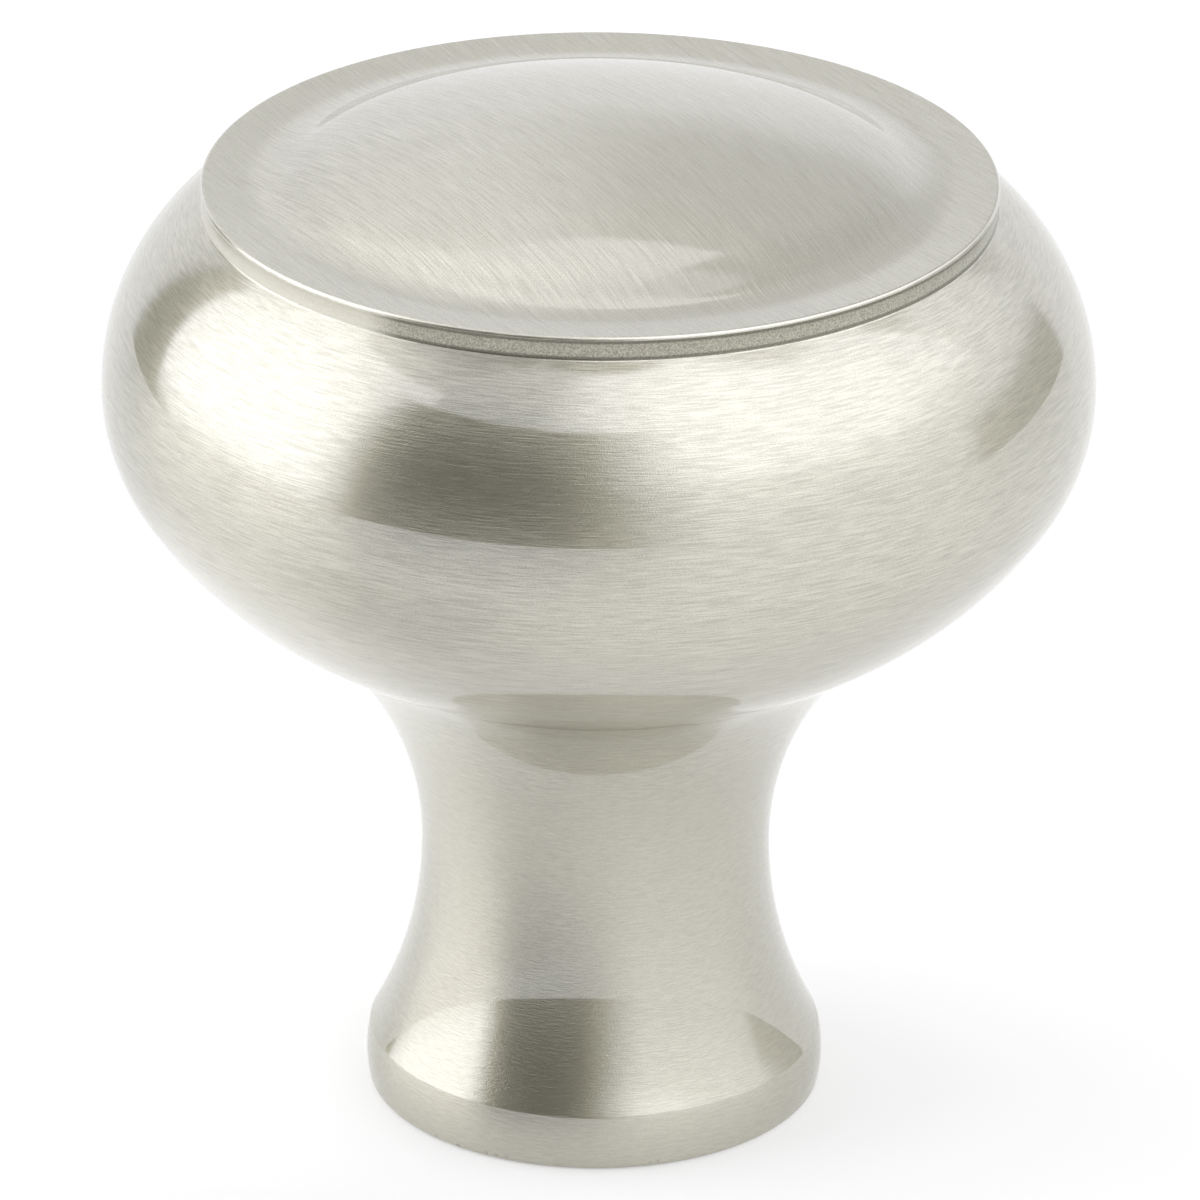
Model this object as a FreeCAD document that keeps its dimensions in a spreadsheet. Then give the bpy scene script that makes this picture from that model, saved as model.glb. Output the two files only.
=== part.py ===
import FreeCAD, Part

import math
import os

import Sketcher
from FreeCAD import Vector

# Cabinet knob, turned in one piece from a zinc casting.
# The origin is the centre of the foot's mounting face, and +Z runs along the axis to the head.
# Lengths are millimetres and angles degrees.

NODE = "knob_body"
SHEET = "Sizes"

# Driving dimensions: alias, value, and what it measures.
SIZES = [
    ("head_diameter", 31.75, "head at its widest"),
    ("belly_radius", 5.75, "round just below the widest line"),
    ("underside_radius", 13.6, "flatter round from the belly in to the neck"),
    ("belly_depth", 7.83, "neck corner up to the widest line"),
    ("shoulder_rise", 6.13, "widest line up to the crease under the cap"),
    ("shoulder_overhang", 3.25, "crease in from the widest line"),
    ("collar_height", 0.79, "crease up to the rim of the cap"),
    ("collar_undercut", 0.1, "how far the rim stands out past the crease"),
    ("collar_cove_radius", 1.5, "hollow wall between crease and rim"),
    ("land_width", 1.4, "flat ring round the top face"),
    ("land_dish", 0.1, "how far the ring falls towards the dome"),
    ("cove_radius", 3.0, "hollow between ring and dome"),
    ("dome_slope", 27.5, "steepest slope of the dome"),
    ("dome_edge_radius", 7.0, "round at the dome's edge"),
    ("crown_radius", 30.0, "broad round over the dome's middle"),
    ("waist_diameter", 11.27, "stem at its thinnest"),
    ("waist_height", 8.48, "thinnest place above the foot face"),
    ("neck_height", 16.66, "neck corner above the foot face"),
    ("neck_flare", 3.97, "how far the neck corner stands out past the waist"),
    ("foot_flare", 1.66, "how far the foot stands out past the waist"),
    ("foot_band_height", 1.9, "nearly straight band round the foot"),
    ("foot_band_radius", 3.9, "slight barrel of that band"),
    ("neck_fillet", 0.5, "hollow between stem and head"),
    ("foot_corner_fillet", 0.3, "shoulder above the foot band"),
    ("foot_edge_fillet", 0.25, "edge of the mounting face"),
    ("rim_fillet", 0.12, "edge of the cap"),
    ("crease_fillet", 0.12, "root of the crease"),
    ("hole_diameter", 3.45, "screw hole, tapping size of a number 8 screw with 32 threads an inch"),
    ("hole_depth", 12.5, "screw hole at full diameter"),
    ("hole_mouth_diameter", 4.6, "countersink at the mouth of the hole"),
    ("hole_mouth_angle", 90.0, "full angle of that countersink"),
    ("drill_point_angle", 118.0, "full angle of the hole's end"),
]

# Sketch references: the ends and centre of a curve, and the sketch's own axes.
START, END, CENTRE = 1, 2, 3
HORIZONTAL_AXIS, VERTICAL_AXIS = -1, -2

# How closely an edge has to agree with the corner it is found by.
EDGE_TOLERANCE = 1e-4


def make_sheet(doc):
    """Write the driving dimensions into a spreadsheet, one row each, and return their values."""
    sheet = doc.addObject("Spreadsheet::Sheet", SHEET)
    for row, (alias, value, note) in enumerate(SIZES, start=1):
        sheet.set(f"A{row}", alias)
        sheet.set(f"B{row}", str(value))
        sheet.set(f"C{row}", note)
        sheet.setAlias(f"B{row}", alias)
    doc.recompute()
    return {alias: float(sheet.get(alias)) for alias, _, _ in SIZES}


def origin_feature(body, role):
    """Return one of the body's own origin planes or axes."""
    return next(item for item in body.Origin.OriginFeatures if item.Role == role)


def profile_points(size):
    """Work out the corners and centres of the turned profile, as radius and height."""
    head = size["head_diameter"] / 2
    waist = size["waist_diameter"] / 2
    foot = waist + size["foot_flare"]
    widest = size["neck_height"] + size["belly_depth"]
    crease_height = widest + size["shoulder_rise"]
    rim_height = crease_height + size["collar_height"]
    crease_radius = head - size["shoulder_overhang"]
    point = {
        "base_centre": Vector(0, 0),
        "foot_edge": Vector(foot, 0),
        "foot_corner": Vector(foot, size["foot_band_height"]),
        "waist": Vector(waist, size["waist_height"]),
        "neck": Vector(waist + size["neck_flare"], size["neck_height"]),
        "widest": Vector(head, widest),
        "crease": Vector(crease_radius, crease_height),
        "rim": Vector(crease_radius + size["collar_undercut"], rim_height),
    }
    # The underside round touches the belly round from inside and passes through the neck corner.
    belly_centre = Vector(head - size["belly_radius"], widest)
    underside_centre = circle_crossing(
        belly_centre,
        size["underside_radius"] - size["belly_radius"],
        point["neck"],
        size["underside_radius"],
    )
    outward = (belly_centre - underside_centre).normalize()
    point["belly_end"] = underside_centre + outward * size["underside_radius"]
    point["belly_centre"] = belly_centre
    point["underside_centre"] = underside_centre
    # The ring falls slightly to the cove, whose round leaves it without an edge.
    point["land_inner"] = point["rim"] - Vector(size["land_width"], size["land_dish"])
    fall = math.atan2(size["land_dish"], size["land_width"])
    cove_centre = point["land_inner"] + Vector(-math.sin(fall), math.cos(fall)) * size["cove_radius"]
    slope = math.radians(size["dome_slope"])
    inward = Vector(-math.sin(slope), -math.cos(slope))
    dome_edge_centre = cove_centre + inward * (size["cove_radius"] + size["dome_edge_radius"])
    point["cove_end"] = cove_centre + inward * size["cove_radius"]
    point["cove_centre"] = cove_centre
    point["dome_edge_centre"] = dome_edge_centre
    # The crown is centred on the axis and touches the round at the dome's edge.
    reach = size["crown_radius"] - size["dome_edge_radius"]
    crown_centre = Vector(0, dome_edge_centre.y - math.sqrt(reach**2 - dome_edge_centre.x**2))
    outward = (dome_edge_centre - crown_centre).normalize()
    point["crown_edge"] = crown_centre + outward * size["crown_radius"]
    point["crown_centre"] = crown_centre
    point["apex"] = crown_centre + Vector(0, size["crown_radius"])
    return point


def circle_crossing(first, first_radius, second, second_radius):
    """Return the crossing nearer the axis of two circles given by centre and radius."""
    span = second - first
    along = (first_radius**2 - second_radius**2 + span.Length**2) / (2 * span.Length)
    across = math.sqrt(first_radius**2 - along**2)
    direction = span.normalize()
    normal = Vector(-direction.y, direction.x)
    crossings = [first + direction * along + normal * across * side for side in (-1, 1)]
    return min(crossings, key=lambda crossing: crossing.x)


def arc_from_centre(start, end, centre):
    """Return the arc from start to end, anticlockwise about its centre."""
    radius = (start - centre).Length
    circle = Part.Circle(centre, Vector(0, 0, 1), radius)
    first = math.atan2(start.y - centre.y, start.x - centre.x)
    last = math.atan2(end.y - centre.y, end.x - centre.x)
    if last < first:
        last += 2 * math.pi
    return Part.ArcOfCircle(circle, first, last)


def centre_of_radius(start, end, radius):
    """Return the centre, left of the way from start to end, of the round of that radius."""
    chord = end - start
    middle = (start + end) * 0.5
    height = math.sqrt(radius**2 - (chord.Length / 2) ** 2)
    left = Vector(-chord.y, chord.x).normalize()
    return middle + left * height


def centre_level_with(level, other):
    """Return the centre of the round that is upright at one point and passes through the other."""
    across = level.x - other.x
    rise = other.y - level.y
    offset = (across**2 + rise**2) / (2 * across)
    return Vector(level.x - offset, level.y)


class ProfileSketch:
    """The half profile of the knob, drawn in the XZ plane with its constraints."""

    def __init__(self, doc, body):
        self.sketch = body.newObject("Sketcher::SketchObject", "TurnedProfile")
        self.sketch.AttachmentSupport = (origin_feature(body, "XZ_Plane"), [""])
        self.sketch.MapMode = "FlatFace"
        self.index = {}
        doc.recompute()

    def add(self, name, curve, construction=False):
        """Add a named line or arc."""
        self.index[name] = self.sketch.addGeometry(curve, construction)

    def constrain(self, kind, *places):
        """Add a constraint between named curves or raw references."""
        values = [self.index.get(place, place) if isinstance(place, str) else place for place in places]
        return self.sketch.addConstraint(Sketcher.Constraint(kind, *values))

    def measure(self, name, kind, *places, value, expression):
        """Add a named dimension that follows the spreadsheet."""
        number = self.constrain(kind, *places, value)
        self.sketch.renameConstraint(number, name)
        self.sketch.setExpression(f"Constraints.{name}", expression)

    def height(self, name, curve, end, value, expression):
        """Fix how high the end of a curve lies above the foot face."""
        places = (HORIZONTAL_AXIS, START, curve, end)
        self.measure(name, "DistanceY", *places, value=value, expression=expression)

    def reach(self, name, curve, end, value, expression):
        """Fix how far the end of a curve lies from the axis."""
        places = (HORIZONTAL_AXIS, START, curve, end)
        self.measure(name, "DistanceX", *places, value=value, expression=expression)

    def round(self, name, curve, value, expression):
        """Fix the radius of an arc."""
        self.measure(name, "Radius", curve, value=value, expression=expression)


def draw_profile(doc, body, size):
    """Draw the outline from the foot face up the outside to the dome and back down the axis."""
    point = profile_points(size)
    profile = ProfileSketch(doc, body)
    band_centre = centre_of_radius(point["foot_edge"], point["foot_corner"], size["foot_band_radius"])
    collar_centre = centre_of_radius(point["rim"], point["crease"], size["collar_cove_radius"])
    flare_centre = centre_level_with(point["waist"], point["foot_corner"])
    neck_centre = centre_level_with(point["waist"], point["neck"])
    shoulder_centre = centre_level_with(point["widest"], point["crease"])

    profile.add("base", Part.LineSegment(point["base_centre"], point["foot_edge"]))
    profile.add("foot_band", arc_from_centre(point["foot_edge"], point["foot_corner"], band_centre))
    profile.add("foot_flare", arc_from_centre(point["waist"], point["foot_corner"], flare_centre))
    profile.add("stem", arc_from_centre(point["neck"], point["waist"], neck_centre))
    profile.add("underside", arc_from_centre(point["neck"], point["belly_end"], point["underside_centre"]))
    profile.add("belly", arc_from_centre(point["belly_end"], point["widest"], point["belly_centre"]))
    profile.add("shoulder", arc_from_centre(point["widest"], point["crease"], shoulder_centre))
    profile.add("collar", arc_from_centre(point["rim"], point["crease"], collar_centre))
    profile.add("land", Part.LineSegment(point["rim"], point["land_inner"]))
    profile.add("cove", arc_from_centre(point["cove_end"], point["land_inner"], point["cove_centre"]))
    dome_edge = arc_from_centre(point["cove_end"], point["crown_edge"], point["dome_edge_centre"])
    profile.add("dome_edge", dome_edge)
    profile.add("crown", arc_from_centre(point["crown_edge"], point["apex"], point["crown_centre"]))
    profile.add("axis", Part.LineSegment(point["apex"], point["base_centre"]))
    profile.add("slope_line", Part.LineSegment(point["cove_centre"], point["dome_edge_centre"]), True)

    join_profile(profile)
    measure_profile(profile, size, point)
    doc.recompute()
    return profile.sketch


def join_profile(profile):
    """Close the outline and make its rounds run into each other."""
    profile.constrain("Coincident", "base", START, HORIZONTAL_AXIS, START)
    profile.constrain("Horizontal", "base")
    profile.constrain("Coincident", "base", END, "foot_band", START)
    profile.constrain("Coincident", "foot_band", END, "foot_flare", END)
    profile.constrain("Tangent", "foot_flare", START, "stem", END)
    profile.constrain("Coincident", "stem", START, "underside", START)
    profile.constrain("Tangent", "underside", END, "belly", START)
    profile.constrain("Tangent", "belly", END, "shoulder", START)
    profile.constrain("Coincident", "shoulder", END, "collar", END)
    profile.constrain("Coincident", "collar", START, "land", START)
    profile.constrain("Tangent", "land", END, "cove", END)
    profile.constrain("Tangent", "cove", START, "dome_edge", START)
    profile.constrain("Tangent", "dome_edge", END, "crown", START)
    profile.constrain("Coincident", "crown", END, "axis", START)
    profile.constrain("Coincident", "axis", END, "base", START)
    profile.constrain("Vertical", "axis")
    profile.constrain("PointOnObject", "crown", CENTRE, VERTICAL_AXIS)
    # Where the stem is thinnest and the head widest, the outline is upright.
    profile.constrain("Horizontal", "foot_flare", CENTRE, "foot_flare", START)
    profile.constrain("Horizontal", "belly", CENTRE, "belly", END)
    profile.constrain("Coincident", "slope_line", START, "cove", CENTRE)
    profile.constrain("Coincident", "slope_line", END, "dome_edge", CENTRE)


def measure_profile(profile, size, point):
    """Bind the outline's dimensions to the spreadsheet."""
    waist = f"{SHEET}.waist_diameter / 2"
    head = f"{SHEET}.head_diameter / 2"
    widest = f"{SHEET}.neck_height + {SHEET}.belly_depth"
    profile.reach("foot_reach", "base", END, point["foot_edge"].x, f"{waist} + {SHEET}.foot_flare")
    profile.reach("corner_reach", "foot_band", END, point["foot_corner"].x, f"{waist} + {SHEET}.foot_flare")
    profile.height("corner_height", "foot_band", END, point["foot_corner"].y, f"{SHEET}.foot_band_height")
    profile.round("band_round", "foot_band", size["foot_band_radius"], f"{SHEET}.foot_band_radius")
    profile.reach("waist_reach", "foot_flare", START, point["waist"].x, waist)
    profile.height("waist_level", "foot_flare", START, point["waist"].y, f"{SHEET}.waist_height")
    profile.reach("neck_reach", "underside", START, point["neck"].x, f"{waist} + {SHEET}.neck_flare")
    profile.height("neck_level", "underside", START, point["neck"].y, f"{SHEET}.neck_height")
    profile.round("underside_round", "underside", size["underside_radius"], f"{SHEET}.underside_radius")
    profile.round("belly_round", "belly", size["belly_radius"], f"{SHEET}.belly_radius")
    profile.reach("head_reach", "belly", END, point["widest"].x, head)
    profile.height("head_level", "belly", END, point["widest"].y, widest)
    profile.measure(
        "overhang", "DistanceX", "shoulder", END, "shoulder", START,
        value=size["shoulder_overhang"], expression=f"{SHEET}.shoulder_overhang",
    )
    profile.measure(
        "rise", "DistanceY", "shoulder", START, "shoulder", END,
        value=size["shoulder_rise"], expression=f"{SHEET}.shoulder_rise",
    )
    profile.measure(
        "undercut", "DistanceX", "collar", END, "collar", START,
        value=size["collar_undercut"], expression=f"{SHEET}.collar_undercut",
    )
    profile.measure(
        "collar_rise", "DistanceY", "collar", END, "collar", START,
        value=size["collar_height"], expression=f"{SHEET}.collar_height",
    )
    profile.round("collar_round", "collar", size["collar_cove_radius"], f"{SHEET}.collar_cove_radius")
    profile.measure(
        "ring_width", "DistanceX", "land", END, "land", START,
        value=size["land_width"], expression=f"{SHEET}.land_width",
    )
    profile.measure(
        "ring_fall", "DistanceY", "land", END, "land", START,
        value=size["land_dish"], expression=f"{SHEET}.land_dish",
    )
    profile.round("cove_round", "cove", size["cove_radius"], f"{SHEET}.cove_radius")
    profile.round("dome_edge_round", "dome_edge", size["dome_edge_radius"], f"{SHEET}.dome_edge_radius")
    profile.round("crown_round", "crown", size["crown_radius"], f"{SHEET}.crown_radius")
    profile.measure(
        "slope", "Angle", "axis", START, "slope_line", START,
        value=-math.radians(size["dome_slope"]), expression=f"-{SHEET}.dome_slope * 1 deg",
    )


def circle_edge(shape, radius, height):
    """Return the name of the shape's round edge with that radius and height."""
    for number, edge in enumerate(shape.Edges, start=1):
        same_length = abs(edge.Length - 2 * math.pi * radius) < EDGE_TOLERANCE
        same_centre = (edge.CenterOfMass - Vector(0, 0, height)).Length < EDGE_TOLERANCE
        if same_length and same_centre:
            return f"Edge{number}"
    raise RuntimeError(f"no round edge of radius {radius:.3f} at height {height:.3f}")


def soften_edge(doc, body, label, alias, place):
    """Round the edge that runs through one corner of the profile."""
    base = body.Tip
    fillet = body.newObject("PartDesign::Fillet", label)
    fillet.Base = (base, [circle_edge(base.Shape, place.x, place.y)])
    fillet.setExpression("Radius", f"{SHEET}.{alias}")
    doc.recompute()


def drill_screw_hole(doc, body, size):
    """Drill the blind screw hole up the stem from the foot face, with its countersunk mouth."""
    sketch = body.newObject("Sketcher::SketchObject", "ScrewHoleCentre")
    sketch.AttachmentSupport = (origin_feature(body, "XY_Plane"), [""])
    sketch.MapMode = "FlatFace"
    outline = Part.Circle(Vector(0, 0), Vector(0, 0, 1), size["hole_diameter"] / 2)
    circle = sketch.addGeometry(outline, False)
    sketch.addConstraint(Sketcher.Constraint("Coincident", circle, CENTRE, HORIZONTAL_AXIS, START))
    diameter = sketch.addConstraint(Sketcher.Constraint("Diameter", circle, size["hole_diameter"]))
    sketch.renameConstraint(diameter, "hole_circle")
    sketch.setExpression("Constraints.hole_circle", f"{SHEET}.hole_diameter")
    doc.recompute()
    volume_before = body.Shape.Volume

    hole = body.newObject("PartDesign::Hole", "ScrewHole")
    hole.Profile = sketch
    hole.Reversed = True
    hole.Threaded = False
    hole.ThreadType = "None"
    hole.setExpression("Diameter", f"{SHEET}.hole_diameter")
    hole.DepthType = "Dimension"
    hole.setExpression("Depth", f"{SHEET}.hole_depth")
    hole.DrillPoint = "Angled"
    hole.setExpression("DrillPointAngle", f"{SHEET}.drill_point_angle * 1 deg")
    hole.HoleCutType = "Countersink"
    hole.HoleCutCustomValues = True
    hole.setExpression("HoleCutDiameter", f"{SHEET}.hole_mouth_diameter")
    hole.setExpression("HoleCutCountersinkAngle", f"{SHEET}.hole_mouth_angle * 1 deg")
    doc.recompute()
    if body.Shape.Volume >= volume_before:
        raise RuntimeError("the screw hole removed nothing")


def make_knob(doc, size):
    """Turn the knob from its profile, soften its edges and drill it."""
    body = doc.addObject("PartDesign::Body", NODE)
    body.Label = NODE
    sketch = draw_profile(doc, body, size)

    turned = body.newObject("PartDesign::Revolution", "Turned")
    turned.Profile = sketch
    turned.ReferenceAxis = (sketch, ["V_Axis"])
    turned.Angle = 360
    sketch.Visibility = False
    doc.recompute()

    point = profile_points(size)
    soften_edge(doc, body, "NeckHollow", "neck_fillet", point["neck"])
    soften_edge(doc, body, "CreaseRoot", "crease_fillet", point["crease"])
    soften_edge(doc, body, "RimEdge", "rim_fillet", point["rim"])
    soften_edge(doc, body, "FootShoulder", "foot_corner_fillet", point["foot_corner"])
    soften_edge(doc, body, "FootEdge", "foot_edge_fillet", point["foot_edge"])
    drill_screw_hole(doc, body, size)
    body.Placement = FreeCAD.Placement(Vector(0, 0, 0), FreeCAD.Rotation())
    return body


def check(doc, body):
    """Stop if any object failed, a sketch is loose or the solid is not one sound piece."""
    for item in doc.Objects:
        if "Invalid" in item.State or "Error" in item.State:
            raise RuntimeError(f"{item.Label} failed: {item.State}")
        if item.isDerivedFrom("Sketcher::SketchObject") and not item.FullyConstrained:
            raise RuntimeError(f"{item.Label} is not fully constrained")
    shape = body.Shape
    if shape.isNull() or not shape.isValid() or len(shape.Solids) != 1:
        raise RuntimeError(f"{body.Label} is not one valid solid")


def main():
    """Build the knob in a new document, check it and write its solid."""
    doc = FreeCAD.newDocument("CabinetKnob")
    size = make_sheet(doc)
    body = make_knob(doc, size)
    doc.recompute()
    check(doc, body)
    os.makedirs("parts", exist_ok=True)
    body.Shape.exportStep(os.path.join("parts", f"{NODE}.step"))
    box = body.Shape.optimalBoundingBox()
    lengths = f"{box.XLength:.3f} x {box.YLength:.3f} x {box.ZLength:.3f} mm"
    print(f"{NODE}: {lengths}, {body.Shape.Volume:.1f} mm3")


main()
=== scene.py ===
"""Cabinet knob in satin nickel: its dressed body, a pale floor, studio light and the camera."""

import logging
import math
from dataclasses import dataclass
from enum import Enum
from typing import Iterable, Optional

import bmesh
import bpy
from mathutils import Matrix, Quaternion, Vector
from mathutils.geometry import intersect_line_sphere_2d, intersect_sphere_sphere_2d

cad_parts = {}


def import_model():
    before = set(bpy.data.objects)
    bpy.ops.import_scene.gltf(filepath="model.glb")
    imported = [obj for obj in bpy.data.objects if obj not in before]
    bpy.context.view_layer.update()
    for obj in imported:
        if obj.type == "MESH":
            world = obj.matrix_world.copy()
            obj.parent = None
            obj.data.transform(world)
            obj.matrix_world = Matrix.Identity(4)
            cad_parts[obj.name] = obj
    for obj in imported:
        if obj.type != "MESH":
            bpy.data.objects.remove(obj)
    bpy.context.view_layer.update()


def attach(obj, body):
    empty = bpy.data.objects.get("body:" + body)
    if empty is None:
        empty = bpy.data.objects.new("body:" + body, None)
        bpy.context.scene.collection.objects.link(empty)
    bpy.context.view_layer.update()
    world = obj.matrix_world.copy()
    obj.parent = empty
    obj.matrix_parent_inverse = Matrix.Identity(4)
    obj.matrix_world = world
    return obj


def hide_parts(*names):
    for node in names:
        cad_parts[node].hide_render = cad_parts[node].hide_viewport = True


log = logging.getLogger("cabinet_knob")

MM = 0.001
NODE = "knob_body"
BODY = "root"
FULL_TURN = 2 * math.pi
WELD_MM = 2e-4
ALONG = "along"
GLOW = "glow"

Color = tuple[float, float, float]
Pair = tuple[float, float]
Socket = bpy.types.NodeSocket
BMesh = bmesh.types.BMesh
BMVert = bmesh.types.BMVert


class Skin(Enum):
    """The finishes on the one body, each with its place in the piece's material list."""

    TURNED_SIDE = 0
    BRUSHED_TOP = 1
    TAPPED_BORE = 2
    # The collar's finish carries painted shade and a painted highlight.
    DULL_SHADED_COLLAR = 3


@dataclass(frozen=True)
class Round:
    """A circle in the half plane of the profile: x is the distance from the axis, y the height."""

    centre: Vector
    radius: float

    def facing(self, place: Vector) -> Vector:
        """Return the point of the circle that faces a place."""
        return self.centre + (place - self.centre).normalized() * self.radius

    def meeting(self, own_gap: float, other: "Round", other_gap: float, near: Vector) -> Vector:
        """Return where two circles meet, each first grown by a gap.

        Args:
            own_gap: what is added to this circle's radius.
            other: the second circle.
            other_gap: what is added to its radius.
            near: a place near the wanted one of the two meeting points.

        Returns:
            The meeting point nearer to that place.
        """
        found = intersect_sphere_sphere_2d(
            self.centre, self.radius + own_gap, other.centre, other.radius + other_gap
        )
        return min(found, key=lambda place: (place - near).length)


def round_level_with(level: Vector, other: Vector) -> Round:
    """Return the round that is upright at one point and passes through another.

    Args:
        level: the point at the height of the round's centre.
        other: a second point on the round.

    Returns:
        The round through both.
    """
    across = level.x - other.x
    rise = other.y - level.y
    offset = (across**2 + rise**2) / (2 * across)
    return Round(Vector((level.x - offset, level.y)), abs(offset))


def round_left_of(start: Vector, end: Vector, radius: float) -> Round:
    """Return the round through two points whose centre is left of the way between them.

    Args:
        start: first point on the round.
        end: second point on the round.
        radius: its radius.

    Returns:
        The round.
    """
    chord = end - start
    height = math.sqrt(radius**2 - chord.length_squared / 4)
    left = Vector((-chord.y, chord.x)).normalized()
    return Round((start + end) / 2 + left * height, radius)


@dataclass(frozen=True)
class Stretch:
    """One run of the profile: where it ends and, if it is round, the centre it turns about."""

    end: Vector
    centre: Optional[Vector] = None


@dataclass(frozen=True)
class TurnedProfile:
    """The half profile of the knob in millimetres, from the mouth of the screw hole to the crown."""

    head_diameter: float = 31.75
    belly_radius: float = 5.75
    underside_radius: float = 13.6
    belly_depth: float = 7.83
    shoulder_rise: float = 6.13
    shoulder_overhang: float = 3.25
    collar_height: float = 0.79
    collar_undercut: float = 0.1
    collar_cove_radius: float = 1.5
    land_width: float = 1.4
    land_dish: float = 0.1
    cove_radius: float = 3.0
    dome_slope: float = 27.5
    dome_edge_radius: float = 7.0
    crown_radius: float = 30.0
    waist_diameter: float = 11.27
    waist_height: float = 8.48
    neck_height: float = 16.66
    neck_flare: float = 3.97
    foot_flare: float = 1.66
    foot_band_height: float = 1.9
    foot_band_radius: float = 3.9
    neck_fillet: float = 0.5
    foot_corner_fillet: float = 0.3
    foot_edge_fillet: float = 0.25
    rim_fillet: float = 0.12
    crease_fillet: float = 0.12

    def foot(self) -> list[Stretch]:
        """Return the foot's lower edge, its band and the corner above it.

        Returns:
            The stretches from the flat foot face up to the flare of the stem.
        """
        band, flare = self.band_round(), self.flare_round()
        corner = self.foot_corner()
        edge_centre = Vector((0.0, self.foot_edge_fillet))
        reach = band.radius - self.foot_edge_fillet
        edge_centre.x = band.centre.x + math.sqrt(reach**2 - (edge_centre.y - band.centre.y) ** 2)
        corner_centre = band.meeting(-self.foot_corner_fillet, flare, self.foot_corner_fillet, corner)
        return [
            Stretch(Vector((edge_centre.x, 0.0))),
            Stretch(band.facing(edge_centre), edge_centre),
            Stretch(band.facing(corner_centre), band.centre),
            Stretch(flare.facing(corner_centre), corner_centre),
        ]

    def stem(self) -> list[Stretch]:
        """Return the waisted stem and the hollow neck under the head.

        Returns:
            The stretches from the foot's corner up to the underside of the head.
        """
        flare, stem, underside = self.flare_round(), self.stem_round(), self.underside_round()
        neck = self.neck_corner()
        neck_centre = stem.meeting(-self.neck_fillet, underside, self.neck_fillet, neck)
        return [
            Stretch(self.waist(), flare.centre),
            Stretch(stem.facing(neck_centre), stem.centre),
            Stretch(underside.facing(neck_centre), neck_centre),
        ]

    def head(self) -> list[Stretch]:
        """Return the bulging side of the head and the collar under the cap's rim.

        Returns:
            The stretches from the neck up to the rim of the cap.
        """
        underside, belly = self.underside_round(), self.belly_round()
        shoulder, collar = self.shoulder_round(), self.collar_round()
        crease, rim = self.crease_corner(), self.rim_corner()
        crease_centre = shoulder.meeting(self.crease_fillet, collar, -self.crease_fillet, crease)
        land = (self.land_inner() - rim).normalized()
        below = Vector((land.y, -land.x)) * -self.rim_fillet
        found = intersect_line_sphere_2d(
            rim + below, self.land_inner() + below, collar.centre, collar.radius + self.rim_fillet, False
        )
        rim_centre = min((place for place in found if place), key=lambda place: (place - rim).length)
        return [
            Stretch(underside.facing(belly.centre), underside.centre),
            Stretch(self.widest(), belly.centre),
            Stretch(shoulder.facing(crease_centre), shoulder.centre),
            Stretch(collar.facing(crease_centre), crease_centre),
            Stretch(collar.facing(rim_centre), collar.centre),
            Stretch(rim_centre - below, rim_centre),
        ]

    def cap(self) -> list[Stretch]:
        """Return the ring, the hollow and the dome of the top face.

        Returns:
            The stretches from the rim in to the crown on the axis.
        """
        land_inner = self.land_inner()
        fall = math.atan2(self.land_dish, self.land_width)
        cove_centre = land_inner + Vector((-math.sin(fall), math.cos(fall))) * self.cove_radius
        slope = math.radians(self.dome_slope)
        inward = Vector((-math.sin(slope), -math.cos(slope)))
        edge_centre = cove_centre + inward * (self.cove_radius + self.dome_edge_radius)
        reach = self.crown_radius - self.dome_edge_radius
        crown_centre = Vector((0.0, edge_centre.y - math.sqrt(reach**2 - edge_centre.x**2)))
        crown = Round(crown_centre, self.crown_radius)
        return [
            Stretch(land_inner),
            Stretch(cove_centre + inward * self.cove_radius, cove_centre),
            Stretch(crown.facing(edge_centre), edge_centre),
            Stretch(crown_centre + Vector((0.0, self.crown_radius)), crown_centre),
        ]

    def widest(self) -> Vector:
        """Return the widest place of the head."""
        return Vector((self.head_diameter / 2, self.neck_height + self.belly_depth))

    def waist(self) -> Vector:
        """Return the thinnest place of the stem."""
        return Vector((self.waist_diameter / 2, self.waist_height))

    def foot_corner(self) -> Vector:
        """Return the corner between the foot's band and the flare, before it is rounded."""
        return Vector((self.waist_diameter / 2 + self.foot_flare, self.foot_band_height))

    def neck_corner(self) -> Vector:
        """Return the corner between the stem and the head, before it is hollowed."""
        return Vector((self.waist_diameter / 2 + self.neck_flare, self.neck_height))

    def crease_corner(self) -> Vector:
        """Return the corner between the shoulder and the collar."""
        return self.widest() + Vector((-self.shoulder_overhang, self.shoulder_rise))

    def rim_corner(self) -> Vector:
        """Return the corner between the collar and the ring of the top face."""
        return self.crease_corner() + Vector((self.collar_undercut, self.collar_height))

    def collar_reach(self) -> Pair:
        """Return the heights between which the collar's wall lies, below the rim's rounded edge."""
        return (self.crease_corner().y, self.rim_corner().y - self.rim_fillet)

    def land_inner(self) -> Vector:
        """Return where the flat ring of the top face runs into its hollow."""
        return self.rim_corner() - Vector((self.land_width, self.land_dish))

    def band_round(self) -> Round:
        """Return the slight barrel of the foot's band."""
        corner = self.foot_corner()
        return round_left_of(Vector((corner.x, 0.0)), corner, self.foot_band_radius)

    def flare_round(self) -> Round:
        """Return the round between the waist and the foot."""
        return round_level_with(self.waist(), self.foot_corner())

    def stem_round(self) -> Round:
        """Return the round between the waist and the neck."""
        return round_level_with(self.waist(), self.neck_corner())

    def belly_round(self) -> Round:
        """Return the round below the head's widest line."""
        return Round(self.widest() - Vector((self.belly_radius, 0.0)), self.belly_radius)

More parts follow.
